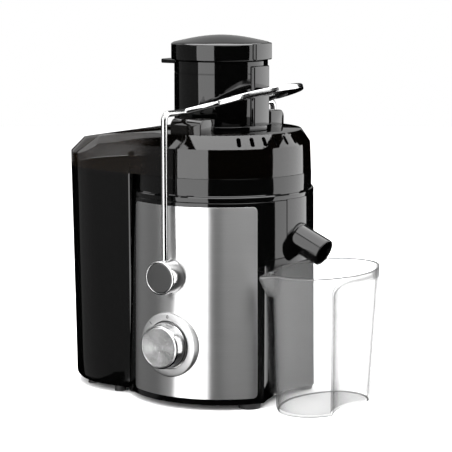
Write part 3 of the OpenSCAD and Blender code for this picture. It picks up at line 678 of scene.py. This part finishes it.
def buildGrip():  # crescent in the plane of the rising loop
    g = grip
    outer, inner = g["radius"] + g["rod"] / 2, g["radius"] - g["rod"] / 2
    reach = outer - g["width"]
    hollow = (inner ** 2 + reach ** 2) / (2 * reach)
    bm = bmesh.new()
    tip = degrees(atan2(inner, hollow - reach))
    arc(bm, (0, 0), outer, 0, -90, 90, 96)
    outerArc = list(bm.verts)
    arc(bm, (reach - hollow, 0), hollow, 0, tip, -tip, 80)
    innerArc = list(bm.verts)[len(outerArc):]
    face = bm.faces.new(outerArc + innerArc)
    raised = bmesh.ops.extrude_face_region(bm, geom=[face])["geom"]
    upper = [v for v in raised if isinstance(v, bmesh.types.BMVert)]
    bmesh.ops.translate(bm, vec=(0, 0, g["rod"]), verts=upper)
    bmesh.ops.recalc_face_normals(bm, faces=bm.faces)
    softenEdges(bm, g["soft"], 6, 50)
    along = Matrix.Translation((g["centre"] / cos(radians(g["rise"])), 0, -g["rod"] / 2))
    place = Matrix.Translation((0, 0, g["height"])) @ Matrix.Rotation(radians(-g["rise"]), 4, "Y") @ along
    makePiece("bailGrip", turned(bm, place), "bail", "chrome_plate", ["bail_grip"], sharp=50)


buildGrip()

hub = {"edge": 1.4, "rim": 1.6, "recess": 0.8}


def buildHubs():
    edge, rim, recess = hub["edge"], hub["rim"], hub["recess"]
    for side, name in ((-1, "front_hub"), (1, "rear_hub")):
        lo, hi = low(name), high(name)
        x, z, r = (lo.x + hi.x) / 2, (lo.z + hi.z) / 2, (hi.z - lo.z) / 2
        back, front = min(abs(lo.y), abs(hi.y)), max(abs(lo.y), abs(hi.y))
        place = Matrix.Scale(-side, 4, (0, 1, 0)) @ alongY(x, z)
        body = lathe([
            (0, back), (r - 0.6, back), (r, back + 0.6), (r, front - edge), (r - edge * 0.3, front - edge * 0.3),
            (r - edge, front), (r - rim - 0.4, front), (r - rim - 0.6, front - recess), (0, front - recess)],
            closed=False)
        turned(softenEdges(body, 0.3, 2, 25), place)
        bmesh.ops.recalc_face_normals(body, faces=body.faces)
        makePiece(name.replace("_hub", "Hub"), body, "bail", "chrome_plate", [name])
        inner = r - rim - 0.8
        disc = lathe([
            (0, front - 0.9), (inner, front - 0.9), (inner, front - 0.35), (inner - 0.5, front - 0.12),
            (0, front - 0.1)], closed=False)
        turned(disc, place)
        bmesh.ops.recalc_face_normals(disc, faces=disc.faces)
        makePiece(name.replace("_hub", "Disc"), disc, "bail", "satin_disc", [name + "_disc"], sharp=8)


buildHubs()
print("bail built")


dial = {"outer": 33.2, "inner": 24.6, "back": 92.0, "markHeight": 5.2, "marks": (("0", 0), ("1", -45), ("2", -90))}


def flatText(text, height):  # a short text as a thin mesh
    curve = bpy.data.curves.new("mark" + text, "FONT")
    curve.body, curve.size, curve.extrude = text, height, 0.3
    curve.align_x, curve.align_y = "CENTER", "CENTER"
    source = bpy.data.objects.new("mark", curve)
    scene.collection.objects.link(source)
    bm = bmesh.new()
    bm.from_mesh(source.evaluated_get(bpy.context.evaluated_depsgraph_get()).to_mesh())
    bpy.data.objects.remove(source)
    bmesh.ops.remove_doubles(bm, verts=bm.verts, dist=0.001)
    return bm


def buildDial():
    lo, hi = low("dial_ring"), high("dial_ring")
    x, z = (lo.x + hi.x) / 2, (lo.z + hi.z) / 2
    outer, inner, back, front = dial["outer"], dial["inner"], dial["back"], abs(lo.y)
    ring = lathe([
        (inner, back), (outer, back), (outer, front - 1.6), (outer - 0.5, front - 0.5), (outer - 1.6, front),
        (inner + 0.6, front), (inner, front - 0.6)])
    makePiece("dialRing", turned(ring, alongY(x, z)), "housing", "brushed_panel", ["dial_ring"], "dialFace")
    upright = Matrix.Translation((0, 0, (outer + inner) / 2)) @ Matrix.Rotation(radians(90), 4, "X")
    for text, angle in dial["marks"]:
        spot = Matrix.Translation((x, 0.05 - front, z)) @ Matrix.Rotation(radians(angle), 4, "Y") @ upright
        mark = turned(flatText(text, dial["markHeight"]), spot)
        makePiece("dialMark" + text, mark, "housing", "matt_black", (), "dialMark")
    return x, z


knobX, knobZ = buildDial()
knob = {"grip": 23.5, "insert": 20.2, "skirt": 1.6}


def buildKnob():
    front, back = abs(low("knob_grip").y), abs(high("knob_grip").y)
    r, rim, skirt = knob["grip"], knob["insert"], back + knob["skirt"]
    grip = lathe([
        (0, back), (r, back), (r, skirt), (r - 0.7, skirt + 0.6), (r - 0.9, front - 1.8), (r - 1.4, front - 0.7),
        (r - 2.4, front), (rim + 0.3, front), (rim + 0.1, front - 0.9), (0, front - 0.9)], closed=False)
    turned(softenEdges(grip, 0.25, 2, 30), alongY(knobX, knobZ))
    bmesh.ops.recalc_face_normals(grip, faces=grip.faces)
    makePiece("knobGrip", grip, "knob", "chrome_plate", ["knob_grip"])
    insert = lathe([
        (0, front - 1.0), (rim, front - 1.0), (rim, front - 0.3), (rim - 0.5, front - 0.1),
        (rim * 0.5, front - 0.35), (0, front - 0.45)], closed=False)
    turned(insert, alongY(knobX, knobZ))
    bmesh.ops.recalc_face_normals(insert, faces=insert.faces)
    makePiece("knobInsert", insert, "knob", "spun_disc", ["knob_insert"], sharp=8)


buildKnob()
print("knob built")


container = {"wall": 2.2, "endAt": -97.0, "end": 80.0, "gap": 0.4, "cornerRadius": 4.0, "taper": 3.0, "lean": 1.5}


def containerLoop(bm, share, inset, z):  # the plan at one height: round end, two corners, straight sides
    c = container
    endX, endR = c["endAt"] + c["lean"] * (1 - share), c["end"] - c["taper"] * (1 - share) - inset
    cornerX, cornerY, cornerR = -66 + 8 * share, 69 + 13 * share, max(c["cornerRadius"] - inset, 1)
    apart = sqrt((cornerX - endX) ** 2 + cornerY ** 2)
    tangent = degrees(atan2(cornerY, cornerX - endX)) + degrees(acos((endR - cornerR) / apart))
    roundEnd = ((endX, 0), endR, tangent, 360 - tangent, 160)
    nearCorner = ((cornerX, -cornerY), cornerR, -tangent, 0, 16)
    farCorner = ((cornerX, cornerY), cornerR, 0, tangent, 16)
    arcs = []
    for centre, radius, first, last, steps in (roundEnd, nearCorner, farCorner):
        before = set(bm.verts)
        arc(bm, centre, radius, z, first, last, steps)
        arcs.append([v for v in bm.verts if v not in before])
    for one, other in ((0, 1), (1, 2), (2, 0)):
        bm.edges.new((arcs[one][-1], arcs[other][0]))
    return list({e for part in arcs for v in part for e in v.link_edges})


def containerForm(t, foot, rim):
    bm = bmesh.new()
    levels = [(0, t + 6, foot), (0, t + 2.5, foot + 1.2), (0.01, t + 0.7, foot + 3.4)]
    levels += [(0.03 + 0.97 * k / 12, t, foot + 6 + (rim - foot - 6) * k / 12) for k in range(13)]
    loops = [containerLoop(bm, *level) for level in levels]
    for lower, upper in zip(loops, loops[1:]):
        bmesh.ops.bridge_loops(bm, edges=lower + upper)
    for rimLoop in (loops[0], loops[-1]):
        bmesh.ops.holes_fill(bm, edges=rimLoop, sides=0)
    bmesh.ops.recalc_face_normals(bm, faces=bm.faces)
    return bm


def buildContainer():
    wall, inner = container["wall"], baseFoot + container["gap"]
    foot, rim = low("pulp_container").z, high("pulp_container").z
    hollow = lathe([(0, -2), (inner, -2), (inner, 300), (0, 300)], steps=240)
    form = combine(containerForm(0, foot, rim), hollow, "DIFFERENCE")
    keep = lathe([(0, -3), (inner + wall, -3), (inner + wall, 301), (0, 301)], steps=240)
    room = combine(containerForm(wall, foot + wall, rim + 1), keep, "DIFFERENCE")
    form = combine(form, room, "DIFFERENCE")
    makePiece("pulpContainer", form, "pulp_bin", "gloss_black", ["pulp_container"], sharp=25, edge=0.5)


buildContainer()

jug = {
    "at": 128.5, "footShift": 2.0, "halfDepth": 48.5, "halfWidth": 72.0, "foot": 0.88, "wall": 2.0,
    "footRound": ((0, 4), (1.0, 1.6), (2.6, 0.5), (5, 0)),
    "recessFace": 149.0, "recessRadius": 77.0, "recessTop": 133.0, "recessRound": 12.0,
    "beak": (101.0, -78.0), "beakRadius": 3.0, "beakRoot": (107.0, -50.0), "rootRadius": 16.0, "beakDepth": 22.0,
    "lip": 1.2, "rounding": 1.5}


def oval(bm, x, halfDepth, halfWidth, z):  # four tangent arcs, as seen from above
    e = halfWidth / 2
    side = (halfDepth ** 2 + (halfWidth - e) ** 2 - e ** 2) / (2 * (halfDepth - e))
    t = degrees(atan2(halfWidth - e, side - halfDepth))
    arc(bm, (x + halfDepth - side, 0), side, z, -t, t, 48)
    arc(bm, (x, halfWidth - e), e, z, t, 180 - t, 60)
    arc(bm, (x + side - halfDepth, 0), side, z, 180 - t, 180 + t, 48)
    arc(bm, (x, e - halfWidth), e, z, 180 + t, 360 - t, 60)


def jugForm(t, foot, rim):
    j = jug
    bm = bmesh.new()
    for rise, inset in j["footRound"]:
        halfDepth, halfWidth = j["halfDepth"] * j["foot"] - inset - t, j["halfWidth"] * j["foot"] - inset - t
        oval(bm, j["at"] - j["footShift"], halfDepth, halfWidth, foot + rise)
    oval(bm, j["at"], j["halfDepth"] - t, j["halfWidth"] - t, rim)
    body = hulled(bm)
    beak = bmesh.new()
    for z in (rim - 4, rim):
        arc(beak, j["beak"], max(j["beakRadius"] - t, 0.6), z, 0, 360, 32)
    for z in (rim - j["beakDepth"], rim):
        arc(beak, j["beakRoot"], j["rootRadius"] - t, z, 0, 360, 64)
    body = combine(body, hulled(beak), "UNION")
    reach, top, soft = j["recessRadius"] + t, j["recessTop"] + t, j["recessRound"]
    turns = [radians(9 * k) for k in range(11)]
    corner = [(reach - soft + soft * cos(turn), top - soft + soft * sin(turn)) for turn in turns]
    recess = lathe([(0, -5), (reach, -5)] + corner + [(0, top)], steps=240)
    bmesh.ops.translate(recess, vec=(j["recessFace"] + j["recessRadius"], 0, 0), verts=recess.verts)
    return combine(body, recess, "DIFFERENCE")


def buildJug():
    j = jug
    rim = high("juice_jug").z
    shell = combine(jugForm(0, 0, rim), jugForm(j["wall"], j["wall"], rim + 1), "DIFFERENCE")
    bmesh.ops.bisect_plane(shell, geom=shell.verts[:] + shell.edges[:] + shell.faces[:],
                           plane_co=(0, 0, rim - j["lip"]), plane_no=(0, 0, 1))
    for face in shell.faces:  # the lip and the foot's edge get the greyer, more opaque copy: painted shade standing in for light bending in the thicker plastic there
        middle, upright = face.calc_center_median(), abs(face.normal.z) < 0.97
        face.material_index = int(middle.z > rim - j["lip"] or middle.z < j["rounding"] and upright)
    piece = makePiece("juiceJug", shell, "jug", "clear_plastic", ["juice_jug"], sharp=25)
    piece.data.materials.append(finish["clearEdge"])


buildJug()
print("container and jug built")


for name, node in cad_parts.items():  # the CAD nodes that stay in view get their finish
    if not node.hide_render:
        for place in node.material_slots:
            place.material = finish[place.material.name.split(".")[0]]


studio = {
    "azimuth": 33.5, "elevation": 8.44, "range": 1.95, "aimHeight": 0.1753, "lens": 147.6, "shift": 0.0108,
    "floorRadius": 3.0, "ceiling": (2.4, 3.4, 1.9, 15), "ceilingShift": 0.3,
    "boxes": {  # azimuth from the camera, width, height, height of its middle, power, distance
        "leftBox": (-36.5, 1.2, 2.2, 0.4, 11.5, 1.6),
        "rightBox": (97, 1.8, 2.2, 0.4, 9.5, 1.6),
        "backBox": (190, 2.6, 1.4, 1.15, 1.3, 2.2),
        "leftWing": (-70, 0.75, 1.3, 1.4, 10, 1.7),
        "farWing": (-124, 0.8, 1.3, 1.4, 4, 1.7),
        "leftFill": (-90, 2.4, 2.2, 0.4, 0.6, 1.7),
        "rightWing": (25, 1.8, 1.1, 1.5, 5, 1.9)}}


def direction(azimuth):
    return Vector((sin(radians(azimuth)), -cos(radians(azimuth)), 0))


def facing(aim):  # turns a lamp or the camera towards aim
    return aim.to_track_quat("-Z", "Y").to_matrix().to_4x4()


def makeFloor():
    bm = bmesh.new()
    bmesh.ops.create_circle(bm, cap_ends=True, segments=128, radius=studio["floorRadius"])
    mesh = bpy.data.meshes.new("floor")
    bm.to_mesh(mesh)
    bm.free()
    paint = Paint("paleFloor", {"Roughness": 0.9, "Specular IOR Level": 0.1})
    mesh.materials.append(paint.feed({"Base Color": paint.between(paint.noise(6, 2), grey(0.93), grey(0.96))}))
    floor = bpy.data.objects.new("floor", mesh)
    floor.visible_glossy = False
    scene.collection.objects.link(floor)


def softbox(name, width, height, power, place):
    light = bpy.data.lights.new(name, "AREA")
    light.shape, light.size, light.size_y = "RECTANGLE", width, height
    light.energy = power * width * height
    made = bpy.data.objects.new(name, light)
    scene.collection.objects.link(made)
    made.matrix_world = place


def makeLights():
    s = studio
    for name, (azimuth, width, height, middle, power, distance) in s["boxes"].items():
        spot = direction(s["azimuth"] + azimuth) * distance + Vector((0, 0, middle))
        aim = Vector((0, 0, min(middle, 0.4))) - spot
        softbox(name, width, height, power, Matrix.Translation(spot) @ facing(aim))
    width, height, z, power = s["ceiling"]
    above = Matrix.Rotation(radians(s["azimuth"]), 4, "Z") @ Matrix.Translation((s["ceilingShift"], 0, z))
    softbox("ceilingBox", width, height, power, above)
    world = bpy.data.worlds.new("studio")
    scene.world = world
    world.use_nodes = True
    background = world.node_tree.nodes["Background"].inputs
    background["Color"].default_value, background["Strength"].default_value = grey(1.0), 1.0
    world.cycles_visibility.glossy = False
    scene.view_settings.view_transform = "Standard"


def makeCamera():
    s = studio
    data = bpy.data.cameras.new("camera")
    data.sensor_width, data.lens, data.shift_x = 36, s["lens"], s["shift"]
    data.clip_start, data.clip_end = 0.05, 20
    made = bpy.data.objects.new("camera", data)
    scene.collection.objects.link(made)
    rise = radians(s["elevation"])
    back = direction(s["azimuth"]) * cos(rise) + Vector((0, 0, sin(rise)))
    made.matrix_world = Matrix.Translation(Vector((0, 0, s["aimHeight"])) + back * s["range"]) @ facing(-back)
    scene.camera = made


makeFloor()
makeLights()
makeCamera()
print("studio and camera made")
